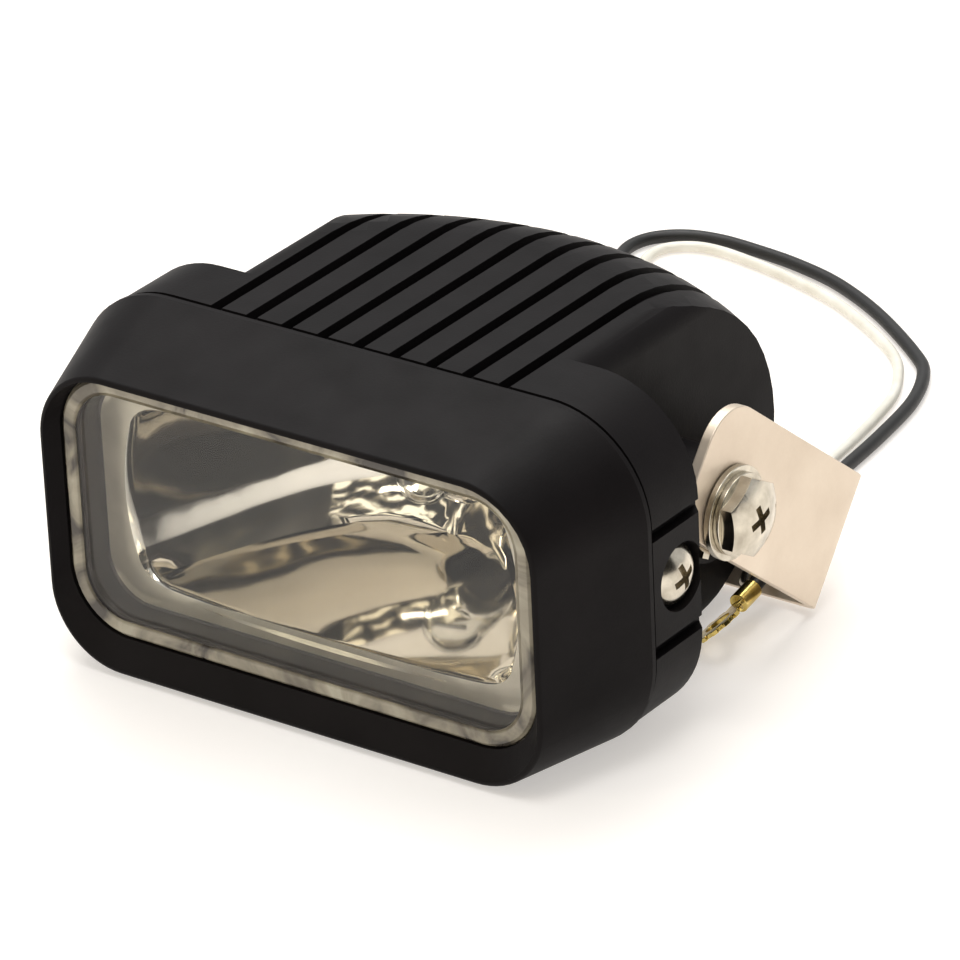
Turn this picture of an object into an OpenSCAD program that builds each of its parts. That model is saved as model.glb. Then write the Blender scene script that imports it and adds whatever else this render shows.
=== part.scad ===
// Rectangular halogen fog light on a U bracket that swings about two side bolts.
// Frame: +Z up, the light shines towards -Y, origin under the middle of the lamp.

/* [Lamp body] */
// Width of the shroud bezel
lamp_w = 120; // [118:0.5:124]
// Height of the lamp
lamp_h = 64; // [63:0.5:66]
// Depth of the lamp, front lip to the back of the housing
lamp_d = 102.5; // [102:0.1:103]
// Corner radius of the lamp, seen from the front
corner_r = 19.5; // [18:0.5:20]
// Rounding of the bezel's front edge
edge_r = 0.9; // [0.6:0.1:1]
// How much narrower each side of the bezel is at its front
side_taper = 7.5; // [7.2:0.1:7.5]
// How much lower the bezel's top is at its front
top_taper = 5.8; // [5.5:0.1:5.8]
// Thickness of the bezel and housing walls
wall = 3; // [2.8:0.1:3.2]
// Depth of the bezel
bezel_d = 23; // [22.5:0.5:24]
// Depth of the wide part of the housing behind the seam
step_d = 17; // [16.5:0.5:17.5]

/* [Lens] */
// Visible width of the lens
lens_w = 99.4; // [98:0.2:100]
// Visible height of the lens
lens_h = 50.2; // [49:0.2:51]
// Corner radius of the visible lens
lens_r = 12; // [10:0.5:13]
// Width of the polished bevel round the lens
bevel_w = 3.1; // [2:0.1:4]

/* [Rear body] */
// Width of the narrow rear body
rear_w = 76; // [74:0.5:77]
// Radius of the bowed back, seen from above
bow_r = 80; // [75:1:100]
// Rounding of the rear body's long edges
rear_edge_r = 5; // [3:0.5:6]
// Number of cooling slots
slot_n = 9; // [5:2:9]
// Distance between cooling slots
slot_pitch = 7.6; // [7:0.1:7.8]
// Width of a slot
slot_w = 2.4; // [2:0.1:2.6]
// Depth of a slot
slot_depth = 1.9; // [1.5:0.1:2]

/* [Bracket] */
// Pivot axis behind the lamp's front
pivot_back = 56.3; // [56:0.1:57]
// Width of the bent strip
strip_w = 25; // [24:0.5:25]
// Thickness of the strip
strip_t = 2; // [1.8:0.1:2]
// Pivot axis to the outer face of the bracket's base
reach = 41.2; // [41:0.1:41.2]
// Width over the bracket's arms
arms_w = 106.2; // [106:0.1:106.4]
// Angle of the arms below the horizontal, as stored
tilt = 39; // [37:0.5:39]
// Diameter of the mounting hole in the base
mount_hole_d = 8.5; // [6.5:0.5:10.5]

/* [Leads] */
// Diameter of the black supply lead
black_d = 2.6; // [2:0.1:2.6]
// Diameter of the white lead
white_d = 2.1; // [1.8:0.1:2.1]

/* [Hidden] */

$fn = 64;
hull_fn = 32;          // circles inside a hull
bow_fn = 96;           // the bowed back
eps = 0.05;            // push-through of a cut
snug = 0.05;           // gap between parts that are pressed or screwed together
air = 0.1;             // gap between stacked parts

mid_z = lamp_h / 2;
front_y = -52;
back_y = front_y + lamp_d;
seam_y = front_y + bezel_d;
seam_gap = 0.8;        // thickness of the seam gasket's slot
step_y = seam_y + step_d;
inset = 0.4;           // the housing is this much inside the bezel at each side
housing_w = lamp_w - 2 * inset;
inner_w = lamp_w - 2 * wall;
inner_h = lamp_h - 2 * wall;
inner_r = corner_r - wall;

bottom_taper = 0.9;    // how much higher the bezel's bottom is at its front
front_r = 14.5;        // corner radius of the bezel's front edge
lip_t = 3.8;           // front edge to the back of the lip that holds the lens
lip_slope = 2.6;       // depth of the sloped wall from the front edge to the lens
lip_edge = 1;          // width of the front edge
room_w = 103;          // room behind the lip
room_h = 55.6;
room_r = 13.5;
room_drop = 1.8;       // how far its middle is below the middle of the lamp
lens_flange = 0.8;     // how far the lens reaches behind the lip
lens_flange_t = 3;
lens_proud = 1.3;      // how far the lens stands up inside the lip
lens_y = front_y + lip_t + air;
gasket_t = 1.1;
gasket_y = lens_y + lens_flange_t + snug;
flange_y = gasket_y + gasket_t + snug;
flange_t = 1.6;

bowl_f = 10.5;         // focal length of the reflector's parabola
bowl_open = 41.2;      // the bowl's depth, vertex to mouth
bowl_half_h = 16.5;    // half the height between its flat walls
bowl_t = 1.6;
bowl_r = sqrt(4 * bowl_f * bowl_open);
mouth_w = 2 * bowl_r + 0.4;
mouth_h = 2 * bowl_half_h;
skirt_w = lens_w - 2 * bevel_w;
skirt_h = lens_h - 2 * bevel_w;
skirt_r = lens_r - bevel_w;
bulb_hole_r = 7;
throat_w = mouth_w - 6;           // where the funnel round the mouth ends
throat_h = mouth_h - 2;
throat_r = 4;

ear_x = 30;            // reflector screws, from the middle
ear_z = 4.25;
ear_w = 4;
ear_h = 5.4;
ear_drop = 1.5;        // how far the ear reaches below its screw
ear_screw_r = 0.85;
ear_head_r = 1.5;
ear_head_t = 1.3;
ear_shank = 4;
post_r = 1.7;
hook_z = 56.6;         // lower edge of the hooks behind the reflector's flange
hook_w = 10;
hook_t = 1.5;
hook_h = 3;
front_w = lamp_w - 2 * side_taper;
front_h = lamp_h - top_taper - bottom_taper;
front_mid_z = bottom_taper + front_h / 2;

screw_y = seam_y + 9;  // side screws behind the seam
screw_head_r = 5.6;
screw_head_t = 3;
screw_r = 2.4;
screw_shank = 8;
screw_pad_r = 8;       // pad behind a side screw, inside the housing
recess_d = 2.2;        // depth of the pocket round a side screw
pad_x = 54.5;          // inner face of the pad behind a side screw
tab_t = 5;
tab_gap = 0.3;
tab_x = pad_x - tab_gap - tab_t;
tab_w = 14;
tab_root = 4;          // how far a tab's root reaches into the bezel

rear_r = lamp_h / 2;
bow_y = back_y - bow_r;
shoulder_cut = 2.5;    // bevel on the back edge of the wide part
flat_u = 37.8;         // the flat on the lower back, from the pivot
slot_top_z = 26;       // slots run down the back to this height
side_slot_z = 11;

pivot_y = front_y + pivot_back;
boss_r = 10;
boss_x = 50;           // outer face of a pivot boss
bolt_r = 4;
running = 0.05;        // radial clearance of the bolt in the bracket's arm
bore_gap = 0.2;        // radial clearance of the bolt in the washers
tooth_t = 0.7;         // toothed washers between boss and arm
tooth_r = 8;
tooth_w = 2;
insert_r = 6.5;
insert_in_x = 37;
hex_af = 13;
hex_t = 4;
washer_x = arms_w / 2 + 0.2;
flat_t = 1.2;
flat_r = 8.5;
spring_t = 1.1;
spring_r = 7.4;
head_x = washer_x + flat_t + spring_t + 0.05;
strip_low = 7.5;       // pivot axis to the strip's lower edge
arm_end = 13.8;        // pivot axis to the end of the arm
arm_end_r = 9;
bend_r = 1.5;          // inside radius of the bracket's bends

grommet_z = mid_z + 6;
grommet_x = -12.2;
grommet_r = 4.5;
grommet_flange_r = 5.6;
grommet_in_y = 43;
grommet_out_y = 60;
grommet_lip = 2.4;     // thickness of its inner flange
grommet_collar_r = 5.4;
grommet_collar_t = 1.7;
grommet_neck_r = 4.4;
grommet_tip_r = 3.4;
grommet_short = 0.15;  // how far its tip stays short of the leads' first point
lead_dx = 1.4;         // the leads leave the grommet side by side

// Centre lines of the free leads, from the grommet to the terminal
black_route = [
    [grommet_x - lead_dx, grommet_out_y, grommet_z], [-13.8, 66, 37.5], [-14.5, 73, 34],
    [-16.5, 80, 26], [-19.5, 86, 15], [-24, 92, 6.5], [-30.5, 99, 2.2], [-38.8, 108, 1.4],
    [-48, 118, 1.4], [-56.5, 128, 1.4], [-61, 136, 1.4], [-60.5, 143, 1.4],
    [-55.5, 148, 1.4], [-48, 150, 1.4], [-38, 149.5, 1.4], [-28, 148, 1.4],
    [-16.5, 144.5, 1.4], [-2.5, 137, 1.4], [12.5, 126, 1.4], [18.5, 119.5, 1.4],
    [23, 108.5, 1.4], [25.5, 94, 1.4], [27, 80, 1.4], [28, 72, 1.5],
    [29.8, 64, 4], [32, 58, 8.5], [34.5, 54.4, 14.4], [36.5, 51.9, 18.1],
    [38.2, 48.9, 20.2], [39.7, 46.8, 22.4], [41.1, 44.2, 23.2], [42.3, 41.5, 22.6],
    [43.1, 39.4, 20.5], [43.6, 38.2, 17.4], [43.9, 36.9, 14], [44, 34.8, 10.9],
    [44, 31.5, 8.4], [44, 24, 6.1]];
white_route = [
    [grommet_x + lead_dx, grommet_out_y, grommet_z], [-10.8, 66, 37.2], [-11.2, 72, 33],
    [-12.5, 78.5, 24], [-15.5, 85, 12.5], [-20.5, 92, 4.6], [-27.5, 100, 1.5],
    [-35.5, 109, 1.2], [-44, 119, 1.2], [-51.5, 128.5, 1.2], [-55.5, 135.5, 1.2],
    [-55.3, 141.5, 1.2], [-51, 145.3, 1.2], [-45, 146.2, 1.2], [-35, 144.7, 1.2],
    [-24, 141.9, 1.2], [-12, 137.5, 1.2], [1, 130, 1.2], [9.5, 123.5, 1.2],
    [14.5, 117, 1.2], [18.7, 108, 1.2], [21.5, 94, 1.2], [23.2, 80, 1.2],
    [24.3, 72, 1.4], [26.3, 64, 4], [28.8, 58, 8.5], [31.2, 54.4, 14.4],
    [33, 52, 18], [34.6, 49.3, 20], [36.2, 47.2, 22.2], [37.9, 44.4, 23],
    [39.1, 41.9, 22.2], [39.8, 40.1, 20], [40.2, 38.7, 17.6], [40.3, 37, 15.2]];
bulb_wire_route = [[0, 17.2, 32], [0, 22, 32], [-2, 28, 34], [-6, 34, 37], [-9.5, 39, 38],
    [-10.8, 42.7, 38]];
earth_wire_route = [[12.7, 4, 11.2], [10, 4.5, 11.8], [3, 8, 12], [-4, 15, 14], [-9, 23, 20],
    [-12, 31, 29], [-13.5, 38, 36], [-13.6, 42.7, 38]];
ring_gap = 11.5;       // longest step between a lead's rings
lead_sides = 8;

ring_at = [44.6, 12.1, 4.3];      // centre of the terminal's eye
ring_turn = [8, 40, 3];           // its pitch, roll and yaw
ring_r = 5.3;
ring_hole_r = 2.65;
ring_t = 0.8;
ring_teeth = 12;
tooth_l = 1.8;
barrel_r = 1.8;
barrel_l = 5;
barrel_end = 11.85;               // centre of the eye to the end of the barrel
bullet_turn = 41.2;               // the bullet's angle from the vertical
bullet_l = 15.5;
bullet_r = 1.6;
sleeve_l = 8.5;

earth_x = 20;
earth_y = 4;
earth_post_top = 9;
earth_post_r = 4;
earth_hole_r = 1.5;
earth_tag_t = 0.8;
earth_barrel_x = 7.2;  // post to the far end of the tag's barrel

bulb_r = 5;
bulb_wall = 1.1;
dome_y = -11;          // where the bulb's dome begins
bulb_back_y = 3.6;
filament_y = -12;
filament_l = 5;
holder_y = 2.6;        // front of the bulb holder
holder_back_y = 3.75;
holder_r = 15;
base_flange_r = 8.5;
base_r = 5.4;
base_y = 5;            // back of the base's flange
base_back_y = 11;
clip_wire_r = 0.6;
clip_x = 6.4;          // the clip's two legs, from the middle
clip_low = 9;          // the clip's ends, from the middle
clip_screw_z = mid_z + 12.2;

// ---- shapes ----

// A rounded rectangle
module rounded(w, h, r) {
    square([w - 2 * r, h], center = true);
    square([w, h - 2 * r], center = true);
    for (sx = [-1, 1], sy = [-1, 1])
        translate([sx * (w / 2 - r), sy * (h / 2 - r)])
            circle(r);
}

// A rounded rectangle facing the front, at lamp mid-height, from y0 towards the back
module plate(w, h, r, y0, d) {
    translate([0, y0 + d, mid_z])
        rotate([90, 0, 0])
            linear_extrude(d)
                rounded(w, h, r);
}

// A cylinder along Y from y0 to y1
module rod_y(r, y0, y1, x = 0, z = mid_z) {
    translate([x, y1, z])
        rotate([90, 0, 0])
            cylinder(h = y1 - y0, r = r);
}

// A cylinder along X from x0 to x1
module rod_x(r, x0, x1, y, z = mid_z) {
    translate([x0, y, z])
        rotate([0, 90, 0])
            cylinder(h = x1 - x0, r = r);
}

// The same thing at the right and mirrored at the left
module both_sides() {
    children();
    mirror([1, 0, 0])
        children();
}

// A cross recess, cut down from z = 0
module cross_recess(size, depth) {
    for (a = [0, 90])
        rotate(a)
            translate([0, 0, -depth / 2])
                cube([size, size / 4, depth], center = true);
}

// ---- swept leads ----

function unit(v) = v / norm(v);

// A point on the smooth curve through route r, between its points i and i + 1
function on_curve(r, i, t) =
    let (a = r[max(i - 1, 0)], b = r[i], c = r[i + 1], d = r[min(i + 2, len(r) - 1)])
    0.5 * (2 * b + (c - a) * t + (2 * a - 5 * b + 4 * c - d) * t * t
        + (3 * b - a - 3 * c + d) * t * t * t);

function curve(r) = [
    for (i = [0:len(r) - 2])
        let (n = ceil(norm(r[i + 1] - r[i]) / ring_gap))
        for (k = [0:n - 1]) on_curve(r, i, k / n),
    r[len(r) - 1]];

function headings(p) = [
    for (i = [0:len(p) - 1]) unit(p[min(i + 1, len(p) - 1)] - p[max(i - 1, 0)])];

// A side direction carried along the headings without twisting
function sideways(h, i = 0, s = [1, 0, 0]) =
    i == len(h) ? [] :
    let (c = unit(s - h[i] * (s * h[i])))
    concat([c], sideways(h, i + 1, c));

module tube(route, d) {
    p = curve(route);
    h = headings(p);
    s = sideways(h);
    n = lead_sides;
    points = [
        for (i = [0:len(p) - 1])
            for (k = [0:n - 1])
                let (a = 360 * k / n)
                p[i] + d / 2 * (cos(a) * s[i] + sin(a) * cross(h[i], s[i]))];
    skin = [
        for (i = [0:len(p) - 2])
            for (k = [0:n - 1])
                let (a = i * n + k, b = i * n + (k + 1) % n)
                each [[a, a + n, b + n], [a, b + n, b]]];
    first = [for (k = [0:n - 1]) k];
    last = [for (k = [n - 1:-1:0]) (len(p) - 1) * n + k];
    polyhedron(points, concat([first, last], skin));
}

// ---- front unit ----

// Bezel block with a rounded front edge, narrower towards the front
module bezel_block() {
    x = front_w / 2 - front_r;
    z = front_h / 2 - front_r;
    hull() {
        plate(lamp_w, lamp_h, corner_r, seam_y - 1, 1, $fn = hull_fn * 2);
        for (sx = [-1, 1], sz = [-1, 1])
            translate([sx * x, front_y + edge_r, front_mid_z + sz * z])
                rotate([90, 0, 0])
                    rotate_extrude($fn = hull_fn * 2)
                        translate([front_r - edge_r, 0])
                            circle(edge_r, $fn = hull_fn);
    }
}

// Room behind the lip
module bezel_room() {
    hull() {
        plate(inner_w, inner_h, inner_r, seam_y, 1, $fn = hull_fn);
        translate([0, 0, -room_drop])
            plate(room_w, room_h, room_r, front_y + lip_t, 0.1, $fn = hull_fn);
    }
}

// Opening that narrows from the front edge to the lens
module bezel_opening() {
    hull() {
        translate([0, 0, front_mid_z - mid_z])
            plate(front_w - 2 * lip_edge, front_h - 2 * lip_edge, front_r - lip_edge,
                front_y - eps, 0.1, $fn = hull_fn);
        plate(lens_w, lens_h, lens_r, front_y + lip_slope, 0.1, $fn = hull_fn);
    }
    plate(lens_w, lens_h, lens_r, front_y + lip_slope, lip_t - lip_slope + eps);
}

module front_bezel() {
    color("#1c1c1d")
    difference() {
        union() {
            difference() {
                bezel_block();
                bezel_room();
                bezel_opening();
            }
            both_sides() {
                rod_y(post_r, front_y + lip_t - eps, flange_y - snug, ear_x, ear_z);
                translate([ear_x - hook_w / 2, flange_y + flange_t + snug, hook_z])
                    cube([hook_w, hook_t, hook_h]);
                bezel_tab();
            }
        }
        both_sides() {
            rod_y(ear_screw_r + snug, front_y + lip_t + 1, flange_y, ear_x, ear_z);
            rod_x(screw_r + snug, tab_x - eps, pad_x, screw_y);
        }
    }
}

// Tab that reaches back into the housing and takes a side screw
module bezel_tab() {
    translate([tab_x, seam_y - tab_root, mid_z - tab_w / 2]) {
        cube([tab_t, step_d - wall + tab_root - air, tab_w]);
        cube([inner_w / 2 - tab_x + 1, tab_root - 0.2, tab_w]);
    }
}

module lens() {
    color("#dfe4e4", 0.35) {
        plate(lens_w + 2 * lens_flange, lens_h + 2 * lens_flange, lens_r + lens_flange,
            lens_y, lens_flange_t);
        hull() {
            plate(lens_w - 0.3, lens_h - 0.3, lens_r - 0.15, lens_y - 0.2, 0.4, $fn = hull_fn);
            plate(skirt_w, skirt_h, skirt_r, lens_y - lens_proud, 0.2, $fn = hull_fn);
        }
    }
}

module lens_gasket() {
    color("#8c8574")
    difference() {
        plate(lens_w + 2 * lens_flange, lens_h + 2 * lens_flange, lens_r + lens_flange,
            gasket_y, gasket_t);
        plate(skirt_w + 1, skirt_h + 1, skirt_r + 0.5, gasket_y - eps, gasket_t + 2 * eps);
    }
}

// Solid inside a parabola, its vertex at the origin and its axis towards the front
module parabola(deeper) {
    steps = 14;
    rotate([90, 0, 0])
        rotate_extrude()
            polygon(concat(
                [for (i = [0:steps]) let (r = bowl_r * i / steps) [r, r * r / (4 * bowl_f) - deeper]],
                [[0, bowl_open]]));
}

module bowl_hollow() {
    intersection() {
        translate([0, 0, mid_z])
            parabola(0);
        translate([-bowl_r, -bowl_open - 1, mid_z - bowl_half_h])
            cube([2 * bowl_r, bowl_open + 2, 2 * bowl_half_h]);
    }
}

module bowl_block() {
    intersection() {
        translate([0, 0, mid_z])
            parabola(bowl_t * 1.5);
        translate([-bowl_r, -bowl_open, mid_z - bowl_half_h - bowl_t])
            cube([2 * bowl_r, bowl_open + 10, 2 * (bowl_half_h + bowl_t)]);
    }
}

module reflector() {
    color("#d8d6d0")
    difference() {
        union() {
            bowl_block();
            hull() {
                plate(mouth_w + 2 * bowl_t, mouth_h + 2 * bowl_t, 8, -bowl_open, bowl_t, $fn = hull_fn);
                plate(skirt_w + 2 * bowl_t, skirt_h + 2 * bowl_t, skirt_r + bowl_t, flange_y,
                    flange_t, $fn = hull_fn);
            }
            plate(lens_w + 2 * lens_flange, lens_h + 2 * lens_flange, lens_r + lens_flange,
                flange_y, flange_t);
            for (s = [-1, 1])
                translate([s * ear_x - ear_w / 2, flange_y, ear_z - ear_drop])
                    cube([ear_w, flange_t, ear_h]);
        }
        hull() {
            plate(throat_w, throat_h, throat_r, -bowl_open - 1, 0.1, $fn = hull_fn);
            plate(skirt_w, skirt_h, skirt_r, flange_y - eps, 0.1, $fn = hull_fn);
        }
        bowl_hollow();
        translate([0, -eps, 0])
            intersection() {
                plate(throat_w, throat_h, throat_r, -bowl_open - 1.1, 1.2);
                bowl_hollow();
            }
        rod_y(bulb_hole_r, -5, 5);
        for (s = [-1, 1])
            rod_y(ear_screw_r + 0.15, flange_y - 1, flange_y + flange_t + 1, s * ear_x, ear_z);
    }
}

module reflector_screws() {
    color("#b9bab8")
    for (s = [-1, 1])
        translate([s * ear_x, flange_y + flange_t + snug, ear_z])
            rotate([-90, 0, 0])
                difference() {
                    union() {
                        cylinder(h = ear_head_t, r = ear_head_r);
                        translate([0, 0, -ear_shank])
                            cylinder(h = ear_shank + air, r = ear_screw_r);
                    }
                    translate([0, 0, ear_head_t + eps])
                        cross_recess(1.9, 0.8);
                }
}

// ---- housing ----

// Extrudes an outline drawn as (y, z) across the lamp
module across(w) {
    rotate([90, 0, 90])
        translate([0, 0, -w / 2])
            linear_extrude(w)
                children();
}

// Bowed back, a profile turned about an upright axis, made smaller all round by d
module bowed_back(d) {
    turn_r = bow_r - rear_r;
    translate([0, bow_y, 0])
        rotate_extrude($fn = bow_fn) {
            translate([0, d])
                square([turn_r, lamp_h - 2 * d]);
            translate([turn_r, mid_z])
                circle(rear_r - d, $fn = bow_fn / 2);
        }
}

// Rear body, made smaller all round by d
module rear_block(d) {
    big = 100;
    hull()
        intersection() {
            bowed_back(d);
            plate(rear_w - 2 * d, lamp_h - 2 * d, rear_edge_r, seam_y + 1, lamp_d, $fn = hull_fn);
            translate([0, pivot_y, mid_z])
                rotate([-tilt, 0, 0])
                    translate([-big, flat_u - d - 2 * big, -big])
                        cube(2 * big);
        }
}

// Cooling slots over the top and down the back
module slots() {
    half = (slot_n - 1) / 2;
    floor_r = rear_r - slot_depth;
    for (i = [-half:half])
        let (x = i * slot_pitch, y = bow_y + sqrt(bow_r * bow_r - x * x) - rear_r)
        translate([x, 0, 0])
            across(slot_w)
                difference() {
                    translate([seam_y, slot_top_z])
                        square([lamp_d, lamp_h]);
                    translate([seam_y, 0])
                        square([y - seam_y, lamp_h - slot_depth]);
                    translate([y, mid_z])
                        circle(floor_r);
                }
}

module rear_housing() {
    color("#202021")
    difference() {
        union() {
            difference() {
                union() {
                    hull() {
                        plate(housing_w, lamp_h, corner_r, seam_y + seam_gap,
                            step_d - seam_gap - shoulder_cut);
                        plate(housing_w - 2 * shoulder_cut, lamp_h - 2 * shoulder_cut,
                            corner_r - shoulder_cut, step_y - 1, 1);
                    }
                    rear_block(0);
                }
                plate(inner_w - 2 * inset, inner_h, inner_r, seam_y, step_d - wall);
                rear_block(wall);
            }
            both_sides() {
                rod_x(boss_r, rear_w / 2 - wall - 0.5, boss_x, pivot_y);
                rod_x(screw_pad_r, pad_x, inner_w / 2, screw_y);
            }
            translate([earth_x, earth_y, wall - eps])
                cylinder(h = earth_post_top - wall + eps, r = earth_post_r);
        }
        slots();
        both_sides() {
            rod_x(insert_r + snug, insert_in_x - snug, boss_x + eps, pivot_y);
            rod_x(screw_r + 0.3, pad_x - eps, housing_w / 2, screw_y);
            rod_x(screw_head_r + 0.6, housing_w / 2 - recess_d, housing_w / 2 + 1, screw_y);
            for (s = [-1, 1])
                translate([housing_w / 2 - slot_depth, seam_y, mid_z + s * side_slot_z - slot_w / 2])
                    cube([slot_depth + 1, step_d + 1, slot_w]);
        }
        rod_y(grommet_r, back_y - 8, back_y + 1, grommet_x, grommet_z);
        rod_y(grommet_flange_r + air, back_y - 12, grommet_in_y + grommet_lip + air, grommet_x,
            grommet_z);
        translate([earth_x, earth_y, earth_post_top - 5])
            cylinder(h = 6, r = earth_hole_r);
    }
}

module seam_gasket() {
    color("#2a2a2a")
    difference() {
        plate(housing_w - 1, lamp_h - 1.8, corner_r - 0.7, seam_y + snug, seam_gap - 2 * snug);
        plate(inner_w - 0.4, inner_h + 0.2, inner_r, seam_y - 1, seam_gap + 2);
    }
}

// Domed screw with a cross recess, its head's underside at x = x0
module domed_screw(x0) {
    dome_r = 7.5;
    translate([x0, screw_y, mid_z])
        rotate([0, 90, 0])
            difference() {
                union() {
                    intersection() {
                        cylinder(h = screw_head_t, r = screw_head_r);
                        translate([0, 0, screw_head_t - dome_r])
                            sphere(dome_r);
                    }
                    translate([0, 0, -screw_shank])
                        cylinder(h = screw_shank + 0.5, r = screw_r);
                }
                translate([0, 0, screw_head_t + eps])
                    rotate(20)
                        cross_recess(5.2, 1.9);
            }
}

module side_screws() {
    color("#cfcabb")
    both_sides()
        domed_screw(housing_w / 2 - recess_d + snug);
}

// ---- pivot ----

module threaded_inserts() {
    color("#b79a4a")
    both_sides()
        difference() {
            rod_x(insert_r, insert_in_x, boss_x - snug, pivot_y);
            rod_x(bolt_r + snug, insert_in_x + 1, boss_x, pivot_y);
        }
}

module friction_washers() {
    color("#a9a9a4")
    both_sides()
        translate([boss_x + snug, pivot_y, mid_z])
            rotate([0, 90, 0])
                linear_extrude(tooth_t)
                    difference() {
                        union() {
                            circle(tooth_r);
                            for (a = [0:30:359])
                                rotate(a)
                                    translate([tooth_r, 0])
                                        square(tooth_w, center = true);
                        }
                        circle(bolt_r + bore_gap);
                    }
}

module flat_washers() {
    color("#b8b4aa")
    both_sides()
        difference() {
            rod_x(flat_r, washer_x, washer_x + flat_t, pivot_y);
            rod_x(bolt_r + bore_gap, washer_x - 1, washer_x + flat_t + 1, pivot_y);
        }
}

module spring_washers() {
    color("#c4c2bc")
    both_sides()
        translate([washer_x + flat_t + 0.02, pivot_y, mid_z])
            difference() {
                rod_x(spring_r, 0, spring_t, 0, 0);
                rod_x(bolt_r + bore_gap, -1, spring_t + 1, 0, 0);
                rotate([-40, 0, 0])
                    translate([-1, 0, -0.4])
                        cube([spring_t + 2, spring_r + 1, 0.8]);
            }
}

// Hex bolt with a cross recess
module pivot_bolt() {
    corner = hex_af / 2 / cos(30);
    crown_r = 16;
    translate([head_x, pivot_y, mid_z])
        rotate([0, 90, 0])
            difference() {
                union() {
                    intersection() {
                        cylinder(h = hex_t, r = corner, $fn = 6);
                        translate([0, 0, hex_t - crown_r])
                            sphere(crown_r);
                    }
                    translate([0, 0, insert_in_x + 2 - head_x])
                        cylinder(h = head_x - insert_in_x - 2 + eps, r = bolt_r);
                }
                translate([0, 0, hex_t + eps])
                    rotate(15)
                        cross_recess(5.5, 2.2);
            }
}

module pivot_bolts() {
    color("#c9c5bb")
    both_sides()
        pivot_bolt();
}

// Block with two rounded corners at y = top, open towards -Y
module bend_outline(half, top, r) {
    low = -30;
    translate([-half, low])
        square([2 * half, top - r - low]);
    translate([-half + r, low])
        square([2 * (half - r), top - low]);
    for (s = [-1, 1])
        translate([s * (half - r), top - r])
            circle(r);
}

// Arm and base seen from the side, with rounded ends
module arm_outline() {
    high = strip_w - strip_low;
    translate([arm_end_r - arm_end, -strip_low])
        square([arm_end - arm_end_r + reach + 1, strip_w]);
    translate([-arm_end, arm_end_r - strip_low])
        square([arm_end, strip_w - 2 * arm_end_r]);
    for (n = [arm_end_r - strip_low, high - arm_end_r])
        translate([arm_end_r - arm_end, n])
            circle(arm_end_r);
}

module bracket() {
    color("#cfc6b6")
    translate([0, pivot_y, mid_z])
        rotate([-tilt, 0, 0])
            difference() {
                intersection() {
                    translate([0, 0, -strip_low])
                        linear_extrude(strip_w)
                            difference() {
                                bend_outline(arms_w / 2, reach, bend_r + strip_t);
                                bend_outline(arms_w / 2 - strip_t, reach - strip_t, bend_r);
                            }
                    across(arms_w + 2)
                        arm_outline();
                }
                rod_x(bolt_r + running, -arms_w, arms_w, 0, 0);
                rod_y(mount_hole_d / 2, reach - strip_t - 1, reach + 1, 0, strip_w / 2 - strip_low);
            }
}

// ---- bulb ----

module bulb_glass() {
    color("#eef2f2", 0.4)
    difference() {
        capsule(bulb_r, bulb_back_y);
        capsule(bulb_r - bulb_wall, bulb_back_y + eps);
    }
}

// A domed rod along Y that ends at y1
module capsule(r, y1) {
    rod_y(r, dome_y, y1);
    translate([0, dome_y, mid_z])
        intersection() {
            sphere(r);
            translate([-r - 1, -r - 1, -r - 1])
                cube([2 * r + 2, r + 1 + eps, 2 * r + 2]);
        }
}

module bulb_filament() {
    color("#6b6b6b")
    rod_x(0.5, -filament_l / 2, filament_l / 2, filament_y);
}

module bulb_base() {
    color("#bdb9ae")
    union() {
        rod_y(base_flange_r, holder_back_y + air, base_y);
        rod_y(base_r, base_y - eps, base_back_y);
    }
}

module bulb_holder() {
    color("#9d9a92")
    difference() {
        rod_y(holder_r, holder_y, holder_back_y);
        rod_y(bulb_r + 0.5, holder_y - 1, holder_back_y + 1);
        rod_y(1.5, holder_y - 1, holder_back_y + 1, 0, clip_screw_z);
    }
}

// Spring wire that bears on the back of the bulb's base
module bulb_clip() {
    r = clip_wire_r;
    color("#c7c7c2")
    translate([0, base_y + air + r, mid_z]) {
        for (s = [-1, 1])
            translate([s * clip_x, 0, -clip_low])
                cylinder(h = 2 * clip_low + 0.5, r = r);
        translate([0, 0, -clip_low])
            rotate([90, 0, 0])
                intersection() {
                    rotate_extrude()
                        translate([clip_x, 0])
                            circle(r, $fn = 24);
                    translate([-8, -8, -1])
                        cube([16, 8, 2]);
                }
        translate([-clip_x - r, -r, clip_low])
            cube([2 * (clip_x + r), 2 * r, 2 * r]);
    }
}

module bulb_clip_screw() {
    color("#b9bab8")
    difference() {
        union() {
            rod_y(3, 6.4, 8.2, 0, clip_screw_z);
            rod_y(1.45, holder_y + air, 6.5, 0, clip_screw_z);
        }
        translate([0, 8.25, clip_screw_z])
            rotate([-90, 0, 0])
                cross_recess(3.2, 1.1);
    }
}

module bulb_terminal() {
    color("#c2a24c")
    translate([-2.4, base_back_y + air, mid_z - 1])
        cube([4.8, 6, 2]);
}

module bulb_wire() {
    color("#262626")
    tube(bulb_wire_route, black_d - 0.4);
}

module earth_screw() {
    color("#b9bab8")
    translate([earth_x, earth_y, earth_post_top + earth_tag_t + 0.15])
        difference() {
            union() {
                cylinder(h = 1.8, r = 2.8);
                translate([0, 0, -5])
                    cylinder(h = 5.1, r = 1.45);
            }
            translate([0, 0, 1.85])
                cross_recess(3, 1.1);
        }
}

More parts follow.
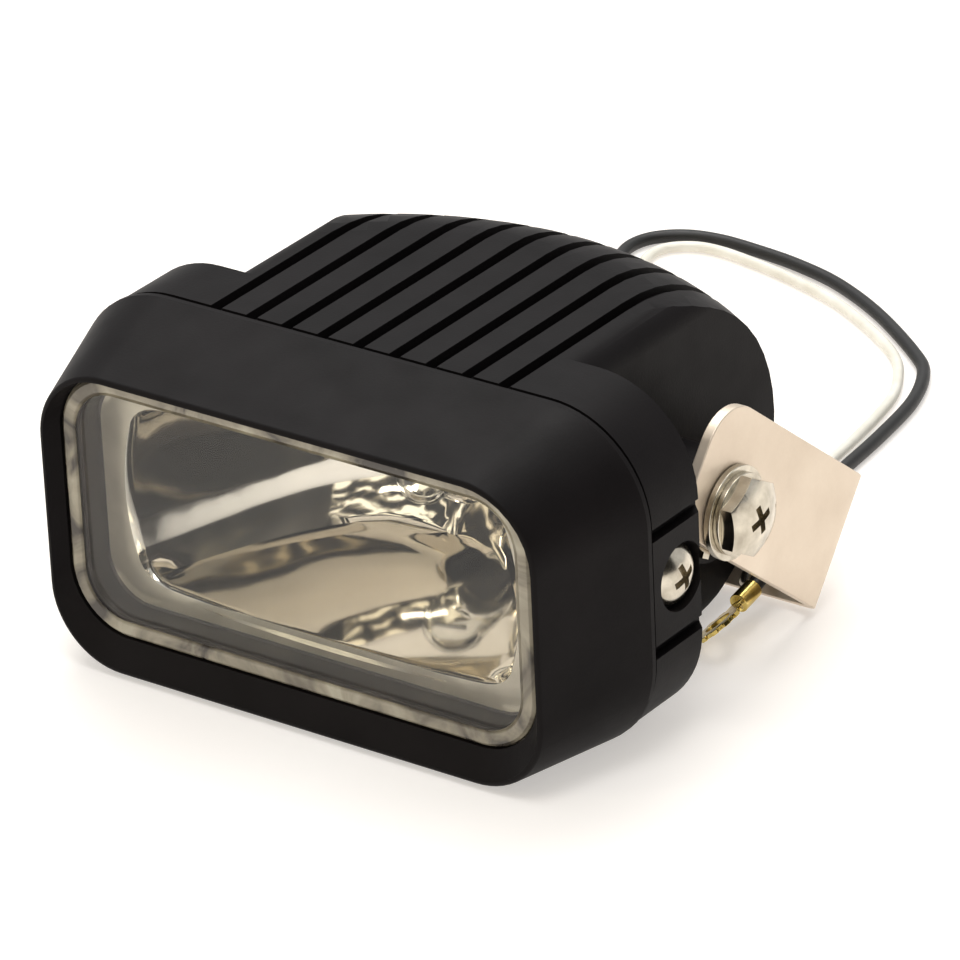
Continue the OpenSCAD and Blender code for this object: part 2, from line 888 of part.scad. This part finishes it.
module earth_tag() {
    color("#c2a24c")
    difference() {
        union() {
            translate([earth_x, earth_y, earth_post_top + snug])
                cylinder(h = earth_tag_t, r = 3.6);
            translate([earth_x - earth_barrel_x, earth_y - 1.5, earth_post_top + snug])
                cube([4, 3, 3.2]);
        }
        translate([earth_x, earth_y, earth_post_top - 1])
            cylinder(h = 3, r = 1.6);
    }
}

module earth_wire() {
    color("#dcd8cc")
    tube(earth_wire_route, white_d - 0.2);
}

// ---- leads ----

module cable_grommet() {
    color("#242424")
    translate([grommet_x, 0, grommet_z])
        rotate([-90, 0, 0])
            rotate_extrude()
                polygon([[0, grommet_in_y], [grommet_flange_r, grommet_in_y],
                    [grommet_flange_r, grommet_in_y + grommet_lip],
                    [grommet_r - snug, grommet_in_y + grommet_lip],
                    [grommet_r - snug, back_y + snug], [grommet_collar_r, back_y + snug],
                    [grommet_collar_r, back_y + grommet_collar_t],
                    [grommet_neck_r, back_y + grommet_collar_t + 0.6],
                    [grommet_tip_r, grommet_out_y - grommet_short],
                    [0, grommet_out_y - grommet_short]]);
}

module black_lead() {
    color("#151515")
    tube(black_route, black_d);
}

module white_lead() {
    color("#e9e6da")
    tube(white_route, white_d);
}

// Eye, teeth and crimped barrel of the black lead's terminal
module ring_terminal() {
    color("#c9a545")
    translate(ring_at)
        rotate([ring_turn[0], 0, ring_turn[2]])
            rotate([0, -ring_turn[1], 0]) {
                difference() {
                    union() {
                        cylinder(h = ring_t, r = ring_r - 0.6, center = true);
                        for (i = [0:ring_teeth - 1])
                            rotate(i * 360 / ring_teeth)
                                translate([ring_r - tooth_l / 2, 0, 0])
                                    cube([tooth_l, 1.3, ring_t], center = true);
                        translate([-1.5, 4, -ring_t / 2])
                            cube([3, 4, ring_t]);
                    }
                    cylinder(h = 4, r = ring_hole_r, center = true);
                }
                translate([0, barrel_end, 0])
                    rotate([90, 0, 0])
                        cylinder(h = barrel_l, r = barrel_r);
            }
}

module along_bullet() {
    end = white_route[len(white_route) - 1];
    translate(end)
        rotate([180 - bullet_turn, 0, 0])
            children();
}

module bullet_sleeve() {
    color("#d8d3c2")
    along_bullet()
        translate([0, 0, air])
            cylinder(h = sleeve_l, r1 = 1.7, r2 = 1.9);
}

module bullet_terminal() {
    color("#c3c2bd")
    along_bullet() {
        translate([0, 0, sleeve_l + air + snug])
            cylinder(h = bullet_l - sleeve_l - bullet_r - snug, r = bullet_r);
        translate([0, 0, bullet_l - bullet_r])
            sphere(bullet_r, $fn = 32);
    }
}

front_bezel();
lens();
lens_gasket();
reflector();
reflector_screws();
rear_housing();
seam_gasket();
side_screws();
threaded_inserts();
friction_washers();
flat_washers();
spring_washers();
pivot_bolts();
bracket();
bulb_glass();
bulb_filament();
bulb_base();
bulb_holder();
bulb_clip();
bulb_clip_screw();
bulb_terminal();
bulb_wire();
earth_screw();
earth_tag();
earth_wire();
cable_grommet();
black_lead();
white_lead();
ring_terminal();
bullet_sleeve();
bullet_terminal();
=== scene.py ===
"""Looks of a rectangular halogen fog light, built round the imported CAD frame."""
import math

import bmesh
import bpy
from mathutils import Matrix, Vector


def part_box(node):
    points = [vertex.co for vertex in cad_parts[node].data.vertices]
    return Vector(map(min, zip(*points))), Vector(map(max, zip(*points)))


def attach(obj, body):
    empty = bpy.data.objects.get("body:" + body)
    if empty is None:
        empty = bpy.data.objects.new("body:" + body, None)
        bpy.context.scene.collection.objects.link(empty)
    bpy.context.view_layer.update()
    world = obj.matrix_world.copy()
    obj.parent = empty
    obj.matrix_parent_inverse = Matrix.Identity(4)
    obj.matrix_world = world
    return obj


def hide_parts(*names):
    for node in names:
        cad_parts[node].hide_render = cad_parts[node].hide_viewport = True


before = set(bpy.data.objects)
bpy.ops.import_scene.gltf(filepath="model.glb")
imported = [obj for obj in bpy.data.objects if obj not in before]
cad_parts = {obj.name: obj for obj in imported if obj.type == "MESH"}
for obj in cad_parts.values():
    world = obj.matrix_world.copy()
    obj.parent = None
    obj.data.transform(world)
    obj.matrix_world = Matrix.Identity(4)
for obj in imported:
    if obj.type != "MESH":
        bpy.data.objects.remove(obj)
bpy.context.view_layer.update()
MM = 0.001


def span(node):
    """Lowest and highest corner of a CAD node, in millimetres."""
    low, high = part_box(node)
    return low / MM, high / MM


LENS = span("lens")
MID_Z = span("rear_housing")[1].z / 2


# ---- camera ----

CAMERA_AT = (0.6815, -0.9076, 0.5932)
CAMERA_TURN = (36.77, 26.55, -2.736)  # azimuth, elevation and roll in degrees
FOCAL_LENGTH = 272
SENSOR_WIDTH = 36


def make_camera():
    """A camera with a long lens to the front right of the lamp, looking down."""
    azimuth, elevation, roll = (math.radians(a) for a in CAMERA_TURN)
    back = Vector((math.sin(azimuth) * math.cos(elevation),
                   -math.cos(azimuth) * math.cos(elevation), math.sin(elevation)))
    right = Vector((math.cos(azimuth), math.sin(azimuth), 0))
    up = back.cross(right)
    x = math.cos(roll) * right + math.sin(roll) * up
    y = math.cos(roll) * up - math.sin(roll) * right
    camera = bpy.data.objects.new("camera", bpy.data.cameras.new("camera"))
    bpy.context.scene.collection.objects.link(camera)
    turn = Matrix((x, y, back)).transposed().to_4x4()
    camera.matrix_world = Matrix.Translation(CAMERA_AT) @ turn
    camera.data.lens = FOCAL_LENGTH
    camera.data.sensor_width = SENSOR_WIDTH
    camera.data.clip_start = 0.01
    bpy.context.scene.camera = camera


make_camera()


# ---- materials ----

class Nodes:
    """A short way to write a node material."""

    def __init__(self, name):
        self.material = bpy.data.materials.new(name)
        self.material.use_nodes = True
        self.tree = self.material.node_tree
        self.shader = self.tree.nodes["Principled BSDF"]
        self.coords = self.tree.nodes.new("ShaderNodeTexCoord")

    def add(self, kind, inputs):
        """A new node with its inputs linked or set."""
        node = self.tree.nodes.new("ShaderNode" + kind)
        for key, value in inputs.items():
            self.put(node.inputs[key], value)
        return node

    def put(self, socket, value):
        """Link another node's socket, or set a plain value."""
        if isinstance(value, bpy.types.NodeSocket):
            self.tree.links.new(value, socket)
        else:
            socket.default_value = value

    def set(self, **values):
        """Inputs of the shader, with _ for each space in their names."""
        for key, value in values.items():
            self.put(self.shader.inputs[key.replace("_", " ")], value)

    def place(self, stretch=(1, 1, 1)):
        """Object coordinates, stretched for a grain with a direction."""
        node = self.add("Mapping", {"Vector": self.coords.outputs["Object"], "Scale": stretch})
        return node.outputs["Vector"]

    def noise(self, scale, detail, stretch=(1, 1, 1), distortion=0.0):
        """Cloudy values from 0 to 1."""
        node = self.add("TexNoise", {"Vector": self.place(stretch), "Scale": scale,
                                     "Detail": detail, "Distortion": distortion})
        return node.outputs["Fac"]

    def ramp(self, value, stops):
        """value turned into colours, from (position, colour) pairs."""
        node = self.add("ValToRGB", {"Fac": value})
        ramp = node.color_ramp
        while len(ramp.elements) < len(stops):
            ramp.elements.new(0.5)
        for element, (position, colour) in zip(ramp.elements, stops):
            element.position = position
            element.color = (*colour, 1)
        return node.outputs["Color"]

    def spread(self, value, low, high):
        """value from 0 to 1 spread from low to high."""
        node = self.add("MapRange", {"Value": value, "To Min": low, "To Max": high})
        return node.outputs["Result"]

    def bump(self, height, distance, strength):
        """Small relief in the shading."""
        node = self.add("Bump", {"Height": height, "Distance": distance, "Strength": strength})
        self.put(self.shader.inputs["Normal"], node.outputs["Normal"])


def powder_coat():
    """Black paint with a soft sheen."""
    m = Nodes("powder_coat")
    m.set(Base_Color=m.ramp(m.noise(60, 4), [(0.3, (0.0045, 0.0037, 0.004)),
                                             (0.7, (0.0075, 0.0062, 0.0067))]),
          Roughness=m.spread(m.noise(140, 2), 0.44, 0.58), Specular_IOR_Level=0.085)
    m.bump(m.noise(2200, 2), 0.00004, 0.5)
    return m.material


def chrome_mirror():
    """Vacuum-coated reflector, slightly uneven."""
    m = Nodes("mirror_chrome")
    m.set(Base_Color=m.ramp(m.noise(30, 3), [(0.3, (0.66, 0.62, 0.55)), (0.7, (0.76, 0.72, 0.64))]),
          Metallic=1.0, Roughness=m.spread(m.noise(400, 2), 0.03, 0.09))
    m.bump(m.noise(45, 1, (1, 1.6, 1)), 0.0009, 0.2)
    return m.material


def satin_coat_and_painted_shade(name, dark, light):
    """Dull coating beside the mirror; in near-black it is painted shade on the recessed front wall.
    """
    m = Nodes(name)
    m.set(Base_Color=m.ramp(m.noise(120, 4), [(0.3, dark), (0.7, light)]), Metallic=0.6,
          Roughness=m.spread(m.noise(400, 2), 0.3, 0.42))
    m.bump(m.noise(900, 2), 0.00003, 0.3)
    return m.material


def bare_steel():
    """Rolled strip with a fine grain and a warm, uneven stain."""
    m = Nodes("bare_steel")
    grain = m.noise(1500, 3, (0.04, 1, 1))
    stain = m.noise(45, 5)
    m.set(Base_Color=m.ramp(stain, [(0.3, (0.66, 0.56, 0.45)), (0.7, (0.80, 0.70, 0.58))]),
          Metallic=0.85, Roughness=m.spread(grain, 0.38, 0.55))
    m.bump(grain, 0.00002, 0.4)
    return m.material


def bright_zinc(name="bright_zinc", dark=(0.42, 0.38, 0.31), light=(0.68, 0.63, 0.53)):
    """Plated metal."""
    m = Nodes(name)
    m.set(Base_Color=m.ramp(m.noise(300, 4), [(0.3, dark), (0.7, light)]), Metallic=1.0,
          Roughness=m.spread(m.noise(500, 2), 0.12, 0.3))
    m.bump(m.noise(900, 2), 0.00003, 0.4)
    return m.material


def plastic(name, dark, light, roughness):
    """Rubber, cable sleeving and other dull materials."""
    m = Nodes(name)
    m.set(Base_Color=m.ramp(m.noise(200, 3), [(0.3, dark), (0.7, light)]),
          Roughness=m.spread(m.noise(600, 2), roughness - 0.06, roughness + 0.06))
    m.bump(m.noise(1400, 2), 0.00003, 0.3)
    return m.material


def clear_glass(name="lens_glass", tint=(0.97, 0.98, 0.96)):
    """Thin clear glass."""
    m = Nodes(name)
    m.set(Base_Color=m.ramp(m.noise(20, 2), [(0.3, tint), (0.7, (1, 1, 1))]),
          Roughness=m.spread(m.noise(300, 2), 0.0, 0.02), Transmission_Weight=1.0,
          IOR=1.3)
    return m.material


def rim_glass_painted_reflections():
    """Polished rim of the lens, opaque, with the light and dark streaks of its reflections painted
    into its colour.
    """
    m = Nodes("rim_glass_painted_reflections")
    # painted reflection: dark and light streaks in the rim's colour stand for what the glass edge
    # mirrors
    m.set(Base_Color=m.ramp(m.noise(70, 4, (1, 1, 1), 1.5), [(0.35, (0.06, 0.052, 0.045)),
                                                            (0.5, (0.24, 0.215, 0.165)),
                                                            (0.7, (0.40, 0.37, 0.29))]),
          Roughness=m.spread(m.noise(700, 2), 0.12, 0.3))
    m.bump(m.noise(1800, 2), 0.00003, 0.4)
    return m.material


def pale_floor():
    """White ground that keeps its shadows light."""
    m = Nodes("pale_floor")
    white = m.ramp(m.noise(8, 2), [(0.3, (0.61, 0.58, 0.55)), (0.7, (0.65, 0.63, 0.61))])
    m.set(Base_Color=white, Roughness=m.spread(m.noise(200, 2), 0.6, 0.75),
          Emission_Color=white, Emission_Strength=0.75)
    return m.material


def lit_screen():
    """A dark room with a few warm bright patches, as the chrome mirrors it."""
    m = Nodes("lit_screen")
    patches = m.ramp(m.noise(0.98, 3, (1, 1, 1.6), 0.8), [(0.47, (0.004, 0.004, 0.004)),
                                                       (0.53, (0.22, 0.19, 0.14)),
                                                       (0.60, (1.0, 0.92, 0.74))])
    m.set(Base_Color=(0.01, 0.01, 0.01, 1), Roughness=0.9, Emission_Color=patches,
          Emission_Strength=1.9)
    return m.material


BLACK = powder_coat()
CHROME = chrome_mirror()
FLANGE = satin_coat_and_painted_shade("satin_flange", (0.46, 0.42, 0.34), (0.62, 0.57, 0.47))
# painted shade: the reflector's recessed front wall is coloured near-black for the shade that falls
# in it
PAINTED_SHADE = satin_coat_and_painted_shade("painted_shade_wall", (0.045, 0.038, 0.034), (0.075, 0.064, 0.058))
STEEL = bare_steel()
ZINC = bright_zinc()
YELLOW = bright_zinc("yellow_zinc", (0.55, 0.40, 0.10), (0.85, 0.68, 0.25))
BRASS = bright_zinc("brass", (0.55, 0.40, 0.16), (0.75, 0.58, 0.28))
RUBBER = plastic("rubber", (0.012, 0.012, 0.012), (0.022, 0.022, 0.022), 0.6)
BLACK_PVC = plastic("black_pvc", (0.005, 0.005, 0.005), (0.009, 0.009, 0.009), 0.5)
WHITE_PVC = plastic("white_pvc", (0.72, 0.69, 0.60), (0.84, 0.82, 0.74), 0.42)
SLEEVE = plastic("clear_sleeve", (0.60, 0.57, 0.48), (0.72, 0.69, 0.60), 0.35)
GLASS = clear_glass()
RIM_PAINTED_REFLECTIONS = rim_glass_painted_reflections()
QUARTZ = clear_glass("bulb_quartz", (0.96, 0.97, 0.98))
TUNGSTEN = bright_zinc("tungsten", (0.2, 0.2, 0.21), (0.35, 0.35, 0.36))

CAD_LOOKS = {
    "lens_gasket": RUBBER, "seam_gasket": RUBBER, "cable_grommet": RUBBER,
    "reflector_screws": ZINC, "threaded_inserts": BRASS, "friction_washers": ZINC,
    "bulb_glass": QUARTZ, "bulb_filament": TUNGSTEN, "bulb_base": ZINC, "bulb_holder": ZINC,
    "bulb_clip": ZINC, "bulb_clip_screw": ZINC, "bulb_terminal": BRASS, "bulb_wire": BLACK_PVC,
    "earth_screw": ZINC, "earth_tag": BRASS, "earth_wire": WHITE_PVC,
    "bullet_sleeve": SLEEVE, "bullet_terminal": ZINC, "bracket": STEEL,
    "front_bezel": BLACK, "rear_housing": BLACK, "lens": GLASS, "reflector": CHROME,
    "side_screws": ZINC, "pivot_bolts": ZINC, "flat_washers": ZINC, "spring_washers": ZINC,
    "ring_terminal": YELLOW, "black_lead": BLACK_PVC, "white_lead": WHITE_PVC,
}
for node_name, look in CAD_LOOKS.items():
    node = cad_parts[node_name]
    node.data.materials.clear()
    node.data.materials.append(look)


# ---- cords ----


def lead(name, route, diameter, material, node):
    """A free lead on one smooth curve through the route's points, in metres."""
    points = [Vector(p) for p in route]
    data = bpy.data.curves.new(name, "CURVE")
    data.dimensions = "3D"
    data.resolution_u = 10
    data.bevel_depth = diameter / 2
    data.bevel_resolution = 6
    data.use_fill_caps = True
    spline = data.splines.new("BEZIER")
    spline.bezier_points.add(len(points) - 1)
    for i, (knot, here) in enumerate(zip(spline.bezier_points, points)):
        before, after = points[max(i - 1, 0)], points[min(i + 1, len(points) - 1)]
        knot.co = here
        knot.handle_left = here - (after - before) / 6
        knot.handle_right = here + (after - before) / 6
    data.materials.append(material)
    cord = bpy.data.objects.new(name, data)
    bpy.context.scene.collection.objects.link(cord)
    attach(cord, "lamp")
    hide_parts(node)


BLACK_ROUTE = [
    (-0.0136, 0.060, 0.038), (-0.0138, 0.066, 0.0375), (-0.0145, 0.073, 0.034),
    (-0.0165, 0.080, 0.026), (-0.0195, 0.086, 0.015), (-0.024, 0.092, 0.0065),
    (-0.0305, 0.099, 0.0022), (-0.0388, 0.108, 0.0014), (-0.048, 0.118, 0.0014),
    (-0.0565, 0.128, 0.0014), (-0.061, 0.136, 0.0014), (-0.0605, 0.143, 0.0014),
    (-0.0555, 0.148, 0.0014), (-0.048, 0.150, 0.0014), (-0.038, 0.1495, 0.0014),
    (-0.028, 0.148, 0.0014), (-0.0165, 0.1445, 0.0014), (-0.0025, 0.137, 0.0014),
    (0.0125, 0.126, 0.0014), (0.0185, 0.1195, 0.0014), (0.023, 0.1085, 0.0014),
    (0.0255, 0.094, 0.0014), (0.027, 0.080, 0.0014), (0.028, 0.072, 0.0015),
    (0.0298, 0.064, 0.004), (0.032, 0.058, 0.0085), (0.0345, 0.0544, 0.0144),
    (0.0365, 0.0519, 0.0181), (0.0382, 0.0489, 0.0202), (0.0397, 0.0468, 0.0224),
    (0.0411, 0.0442, 0.0232), (0.0423, 0.0415, 0.0226), (0.0431, 0.0394, 0.0205),
    (0.0436, 0.0382, 0.0174), (0.0439, 0.0369, 0.014), (0.044, 0.0348, 0.0109),
    (0.044, 0.0315, 0.0084), (0.044, 0.024, 0.0061)]
WHITE_ROUTE = [
    (-0.0108, 0.060, 0.038), (-0.0108, 0.066, 0.0372), (-0.0112, 0.072, 0.033),
    (-0.0125, 0.0785, 0.024), (-0.0155, 0.085, 0.0125), (-0.0205, 0.092, 0.0046),
    (-0.0275, 0.100, 0.0015), (-0.0355, 0.109, 0.0012), (-0.044, 0.119, 0.0012),
    (-0.0515, 0.1285, 0.0012), (-0.0555, 0.1355, 0.0012), (-0.0553, 0.1415, 0.0012),
    (-0.051, 0.1453, 0.0012), (-0.045, 0.1462, 0.0012), (-0.035, 0.1447, 0.0012),
    (-0.024, 0.1419, 0.0012), (-0.012, 0.1375, 0.0012), (0.001, 0.130, 0.0012),
    (0.0095, 0.1235, 0.0012), (0.0145, 0.117, 0.0012), (0.0187, 0.108, 0.0012),
    (0.0215, 0.094, 0.0012), (0.0232, 0.080, 0.0012), (0.0243, 0.072, 0.0014),
    (0.0263, 0.064, 0.004), (0.0288, 0.058, 0.0085), (0.0312, 0.0544, 0.0144),
    (0.033, 0.052, 0.018), (0.0346, 0.0493, 0.020), (0.0362, 0.0472, 0.0222),
    (0.0379, 0.0444, 0.023), (0.0391, 0.0419, 0.0222), (0.0398, 0.0401, 0.020),
    (0.0402, 0.0387, 0.0176), (0.0403, 0.037, 0.0152)]


# ---- meshes ----

CREASE = math.radians(30)  # edges sharper than this are rounded
WELD = 0.002  # points closer than this, in millimetres, become one
FLAT = math.radians(0.3)  # faces that meet at less than this become one

# Rounded width of the edges of each refined CAD node, in millimetres, with its slot and body
REFINED = {
    "front_bezel": (0.3, "black_paint", "lamp"),
    "rear_housing": (0.55, "black_paint", "lamp"),
    "bracket": (0.35, "bare_steel", "bracket"),
    "pivot_bolts": (0.2, "bright_zinc", "lamp"),
    "side_screws": (0.15, "bright_zinc", "lamp"),
    "flat_washers": (0.15, "bright_zinc", "lamp"),
    "spring_washers": (0.15, "bright_zinc", "lamp"),
    "ring_terminal": (0.12, "yellow_zinc", "lamp"),
}

# The reflector's bowl, in millimetres
MOUTH_Y = -41.2  # its front; its vertex is at 0
BOWL_FOCUS = 10.5  # focal length
WALL_BACK = 12.2  # half the height between its walls at the vertex
WALL_SPREAD = 4.4  # what is added to that at the mouth
WALL_CROWN = 1.8  # how far the walls bow out in the middle
SHELL = 1.2  # thickness


def add_piece(name, mesh, node, body="lamp"):
    """Put a mesh in the scene in place of a CAD node."""
    piece = bpy.data.objects.new(name, mesh)
    bpy.context.scene.collection.objects.link(piece)
    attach(piece, body)
    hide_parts(node)
    return piece


def round_edges(piece, width):
    """Small roundings along the edges, with flat faces kept flat in the shading."""
    bevel = piece.modifiers.new("edges", "BEVEL")
    bevel.width = width * MM
    bevel.segments = 3
    bevel.limit_method = "ANGLE"
    bevel.angle_limit = CREASE
    normals = piece.modifiers.new("normals", "WEIGHTED_NORMAL")
    normals.keep_sharp = True


def refined(node, edge, slot, body):
    """A finer copy of a CAD node: merged faces, smooth curves and rounded edges."""
    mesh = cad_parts[node].data.copy()
    mesh.name = node + "_fine"
    work = bmesh.new()
    work.from_mesh(mesh)
    bmesh.ops.remove_doubles(work, verts=work.verts, dist=WELD * MM)
    bmesh.ops.dissolve_limit(work, angle_limit=FLAT, verts=work.verts, edges=work.edges)
    work.to_mesh(mesh)
    work.free()
    mesh.shade_smooth()
    mesh.set_sharp_from_angle(angle=CREASE)
    mesh.materials.clear()
    mesh.materials.append(CAD_LOOKS[node])
    piece = add_piece(node + "_fine", mesh, node, body)
    round_edges(piece, edge)
    return piece


def rect_ring(half_w, half_h, radius, y):
    """A rounded rectangle facing the front, as points in millimetres."""
    count = 12  # steps in each corner
    points = []
    for quarter, (sx, sz) in enumerate([(1, 1), (-1, 1), (-1, -1), (1, -1)]):
        for i in range(count + 1):
            a = math.radians(90 * (quarter + i / count))
            points.append((sx * (half_w - radius) + radius * math.cos(a), y,
                           MID_Z + sz * (half_h - radius) + radius * math.sin(a)))
    return points


def loft(name, rings, looks, bands, capped=False):
    """A skin through rings of equal point count; bands gives each strip's material."""
    count = len(rings[0])
    points = [Vector(p) * MM for ring in rings for p in ring]
    faces, index = [], []
    for i in range(len(rings) - 1):
        for k in range(count):
            n = (k + 1) % count
            faces.append((i * count + k, i * count + n, (i + 1) * count + n, (i + 1) * count + k))
            index.append(bands[i])
    if capped:
        faces.append(tuple(range(count)))
        faces.append(tuple(reversed(range((len(rings) - 1) * count, len(rings) * count))))
        index += [0, 0]
    mesh = bpy.data.meshes.new(name)
    mesh.from_pydata(points, [], faces)
    for look in looks:
        mesh.materials.append(look)
    mesh.polygons.foreach_set("material_index", index)
    work = bmesh.new()
    work.from_mesh(mesh)
    bmesh.ops.recalc_face_normals(work, faces=work.faces)
    work.to_mesh(mesh)
    work.free()
    mesh.shade_smooth()
    mesh.set_sharp_from_angle(angle=math.radians(35))
    return mesh


def make_lens():
    """Clear pane with a raised rim painted with its reflections, hollow behind like a shallow dish.
    """
    half_w, half_h, radius = 49.7, 25.1, 12.0  # the opening in the bezel
    flange = 0.8  # how far the back of the rim reaches past it
    face_y, back_y = LENS[0].y, LENS[1].y
    # each ring's distance inside the lens opening, and its place along Y
    rim = [(3.35, 0.25), (3.05, 0.55), (2.75, 0.15), (2.2, 0.0), (0.9, 0.05), (0.35, 0.5),
           (0.1, 1.5)]
    steps = [(d, face_y + y) for d, y in rim]
    steps += [(-flange, face_y + 1.5), (-flange, back_y)]
    steps += [(2.7, back_y), (2.9, face_y + 2.6), (3.4, face_y + 2.1)]
    rings = [rect_ring(half_w - d, half_h - d, radius - d, y) for d, y in steps]
    # the rim strips take the painted reflections, the rest clear glass
    bands = [1] * len(rim) + [0] * (len(steps) - 1 - len(rim))
    mesh = loft("lens_pane", rings, [GLASS, RIM_PAINTED_REFLECTIONS], bands, capped=True)
    add_piece("lens_pane", mesh, "lens")


def bowl_ring(y, angles=()):
    """Section of the bowl: a circle cut by an upper and a lower wall, or a whole circle."""
    radius = math.sqrt(4 * BOWL_FOCUS * -y)
    half_h = WALL_BACK + WALL_SPREAD * y / MOUTH_Y
    if radius <= half_h:
        return [(radius * math.cos(a), y, MID_Z + radius * math.sin(a)) for a in angles]
    corner = math.asin(half_h / radius)
    edge = radius * math.cos(corner)
    points = []
    arc, wall = 20, 36  # points along each side and each wall
    for side in (1, -1):
        for i in range(arc):
            a = corner * (2 * i / arc - 1)
            points.append((side * radius * math.cos(a), y, MID_Z + side * radius * math.sin(a)))
        for i in range(wall):
            x = edge * (1 - 2 * i / wall)
            crown = WALL_CROWN * (1 - (x / edge) ** 2)
            points.append((side * x, y, MID_Z + side * (half_h + crown)))
    return points


def soften(points, reach):
    """Round the corners of a closed ring by averaging over its neighbours."""
    n = len(points)
    out = []
    for i in range(n):
        near = [points[(i + k) % n] for k in range(-reach, reach + 1)]
        out.append(tuple(sum(c) / len(near) for c in zip(*near)))
    return out


def rect_at(angle, half_w, half_h, radius, y):
    """Where a ray from the middle meets a rounded rectangle."""
    c, s = math.cos(angle), math.sin(angle)
    tiny = 1e-9
    t = min(half_w / max(abs(c), tiny), half_h / max(abs(s), tiny))
    cx, cz = half_w - radius, half_h - radius
    if abs(c) * t > cx and abs(s) * t > cz:
        b = abs(c) * cx + abs(s) * cz
        t = b + math.sqrt(max(b * b - (cx * cx + cz * cz - radius * radius), 0))
    return (c * t, y, MID_Z + s * t)


def make_reflector():
    """Chromed bowl with flat upper and lower walls inside a stepped frame."""
    mouth = soften(bowl_ring(MOUTH_Y), 2)
    turn = [math.atan2(p[2] - MID_Z, p[0]) for p in mouth]
    # half width, half height, corner radius and place along Y of each ring
    wall = [(46.75, 22.15, 9.05, -47.2), (46.6, 22.0, 8.9, -45.5), (46.5, 21.9, 8.8, -43.2),
            (46.4, 21.8, 8.8, -42.3)]
    step = [(46.1, 21.4, 8.8, -41.9), (45.0, 19.9, 8.4, -41.75), (43.4, 17.9, 7.8, -41.75)]
    rings = [[rect_at(a, w, h, r, y) for a in turn] for w, h, r, y in wall + step]
    rings.append([(p[0] * 1.008, MOUTH_Y - 0.5, MID_Z + (p[2] - MID_Z) * 1.02) for p in mouth])
    rings += [mouth, soften(bowl_ring(-40.2), 2), soften(bowl_ring(-38.5), 1)]
    rings += [bowl_ring(y) for y in (-36, -33, -30, -27, -24, -21, -18, -15, -12, -9.5, -7, -5, -4)]
    last = [math.atan2(p[2] - MID_Z, p[0]) for p in rings[-1]]
    rings += [bowl_ring(y, last) for y in (-3, -2, -1.3)]
    # the front wall rings take the painted shade, the step rings the satin flange
    bands = [1] * len(wall) + [2] * len(step)
    bands += [0] * (len(rings) - 1 - len(bands))
    mesh = loft("reflector_bowl", rings, [CHROME, PAINTED_SHADE, FLANGE], bands)
    bowl = add_piece("reflector_bowl", mesh, "reflector")
    skin = bowl.modifiers.new("skin", "SOLIDIFY")
    skin.thickness = SHELL * MM
    skin.offset = 1
    flange = [(47.4, 22.8, 9.7, -43.9), (50.5, 25.9, 12.8, -43.9), (50.5, 25.9, 12.8, -42.3),
              (47.4, 22.8, 9.7, -42.3), (47.4, 22.8, 9.7, -43.9)]
    mesh = loft("reflector_flange", [rect_ring(*part) for part in flange], [FLANGE],
                [0] * (len(flange) - 1))
    add_piece("reflector_flange", mesh, "reflector")


make_lens()
make_reflector()
fine = {node: refined(node, *how) for node, how in REFINED.items()}


# ---- stage ----

def area_light(name, place, target, size, power, colour=(1, 1, 1)):
    """A rectangular light turned to its target."""
    data = bpy.data.lights.new(name, "AREA")
    data.shape = "RECTANGLE"
    data.size, data.size_y = size
    data.energy = power
    data.color = colour
    light = bpy.data.objects.new(name, data)
    bpy.context.scene.collection.objects.link(light)
    light.location = place
    light.rotation_mode = "QUATERNION"
    light.rotation_quaternion = (Vector(place) - Vector(target)).to_track_quat("Z", "Y")


def sheet(name, corners, material):
    """A flat floor or screen, which is no part of the lamp."""
    mesh = bpy.data.meshes.new(name)
    mesh.from_pydata(corners, [], [(0, 1, 2, 3)])
    mesh.materials.append(material)
    piece = bpy.data.objects.new(name, mesh)
    bpy.context.scene.collection.objects.link(piece)


def make_stage():
    """A white ground, a patchy and a dark screen for the chrome, and soft light from above."""
    sheet("floor", [(-7, -7, 0), (7, -7, 0), (7, 7, 0), (-7, 7, 0)], pale_floor())
    dark = plastic("dark_screen", (0.004, 0.004, 0.004), (0.008, 0.008, 0.008), 0.9)
    sheet("front_screen", [(-5.9, -4, 0), (5.9, -4, 0), (5.9, -4, 7), (-5.9, -4, 7)],
          lit_screen())
    sheet("right_screen", [(4.5, -4, 0), (4.5, 1.6, 0), (4.5, 1.6, 4.2), (4.5, -4, 4.2)], dark)
    area_light("key", (-0.35, 0.45, 1.2), (0, 0.02, 0), (0.9, 0.7), 12, (1, 0.985, 0.96))
    area_light("top", (0.25, -0.35, 1.3), (0, 0, 0), (0.5, 0.5), 5)
    area_light("streak", (-0.7, -1.0, 0.75), (0, -0.05, 0.03), (0.10, 0.5), 1.6, (1, 0.93, 0.78))
    area_light("low_streak", (0.35, -1.2, 0.25), (0, -0.05, 0.03), (0.5, 0.08), 0.8,
               (1, 0.95, 0.84))
    world = bpy.data.worlds.new("studio")
    world.use_nodes = True
    background = world.node_tree.nodes["Background"]
    background.inputs["Color"].default_value = (1, 1, 1, 1)
    background.inputs["Strength"].default_value = 0.7
    bpy.context.scene.world = world
    bpy.context.scene.view_settings.view_transform = "Standard"


make_stage()
lead("black_lead_cord", BLACK_ROUTE, 0.0026, BLACK_PVC, "black_lead")
lead("white_lead_cord", WHITE_ROUTE, 0.0021, WHITE_PVC, "white_lead")
